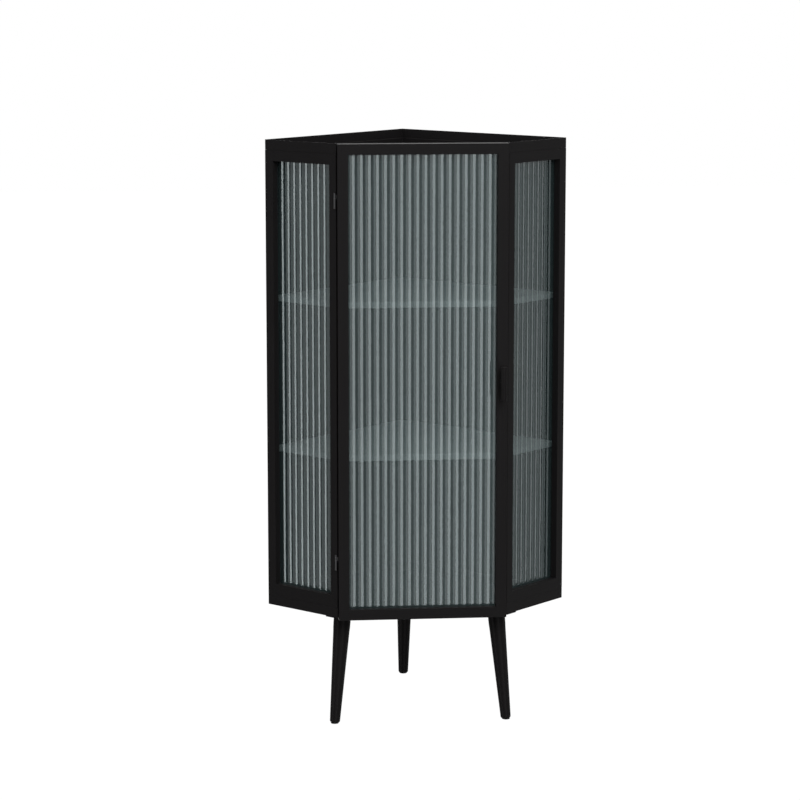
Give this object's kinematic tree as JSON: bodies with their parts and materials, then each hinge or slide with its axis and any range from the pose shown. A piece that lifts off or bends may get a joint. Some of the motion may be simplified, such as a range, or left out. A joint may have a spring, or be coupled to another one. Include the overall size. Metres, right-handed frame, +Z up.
{
  "type": "curio cabinet",
  "caption": "Corner curio cabinet: black steel body with a cut front corner, fluted glass door and sides, shelves, and splayed tapered legs.",
  "frame": {"origin": "on the floor, under the middle of the cabinet's overall box", "axes": "+Z up, -Y towards the door's outer face, +Y towards the room's corner"},
  "size_m": [0.594, 0.4648, 1.153],
  "materials": {
    "frame_paint": "satin black powder coat",
    "leg_paint": "satin black",
    "fluted_glass": "grey-green fluted glass",
    "shelf_glass": "satin grey-green glass with polished edges",
    "hardware_steel": "dark zinc-plated steel",
    "rubber": "matt black rubber",
    "catch_plastic": "matt black moulding"
  },
  "bodies": {
    "cabinet": {"back_corner_post": "frame_paint", "back_foot_pad": "rubber", "back_leg": "leg_paint", "back_leg_plate": "frame_paint", "back_leg_stud": "hardware_steel", "bottom_panel": "frame_paint", "front_left_foot_pad": "rubber", "front_left_leg": "leg_paint", "front_left_leg_plate": "frame_paint", "front_left_leg_stud": "hardware_steel", "front_right_foot_pad": "rubber", "front_right_leg": "leg_paint", "front_right_leg_plate": "frame_paint", "front_right_leg_stud": "hardware_steel", "left_back_panel": "frame_paint", "left_glass_clip_bottom_door": "hardware_steel", "left_glass_clip_bottom_wall": "hardware_steel", "left_glass_clip_top_door": "hardware_steel", "left_glass_clip_top_wall": "hardware_steel", "left_side_frame": "frame_paint", "left_side_glass": "fluted_glass", "lower_door_bumper": "rubber", "lower_hinge_body_leaf": "hardware_steel", "lower_hinge_pin": "hardware_steel", "lower_shelf": "shelf_glass", "lower_shelf_pin_back_left": "hardware_steel", "lower_shelf_pin_back_right": "hardware_steel", "lower_shelf_pin_front_left": "hardware_steel", "lower_shelf_pin_front_right": "hardware_steel", "magnet_catch": "catch_plastic", "right_back_panel": "frame_paint", "right_glass_clip_bottom_door": "hardware_steel", "right_glass_clip_bottom_wall": "hardware_steel", "right_glass_clip_top_door": "hardware_steel", "right_glass_clip_top_wall": "hardware_steel", "right_side_frame": "frame_paint", "right_side_glass": "fluted_glass", "top_panel": "frame_paint", "upper_door_bumper": "rubber", "upper_hinge_body_leaf": "hardware_steel", "upper_hinge_pin": "hardware_steel", "upper_shelf": "shelf_glass", "upper_shelf_pin_back_left": "hardware_steel", "upper_shelf_pin_back_right": "hardware_steel", "upper_shelf_pin_front_left": "hardware_steel", "upper_shelf_pin_front_right": "hardware_steel"},
    "door": {"door_frame": "frame_paint", "door_glass": "fluted_glass", "door_glass_clip_lower_left": "hardware_steel", "door_glass_clip_lower_right": "hardware_steel", "door_glass_clip_upper_left": "hardware_steel", "door_glass_clip_upper_right": "hardware_steel", "handle_bar": "frame_paint", "handle_post": "frame_paint", "handle_screw": "hardware_steel", "lower_hinge_door_leaf": "hardware_steel", "strike_plate": "hardware_steel", "upper_hinge_door_leaf": "hardware_steel"}
  },
  "joints": [
    {"name": "door_hinge", "type": "hinge", "parent": "cabinet", "child": "door", "pos_m": [-0.16988, -0.1917, 0.688], "axis": [0, 0, -1], "range_deg": [0, 110]}
  ]
}
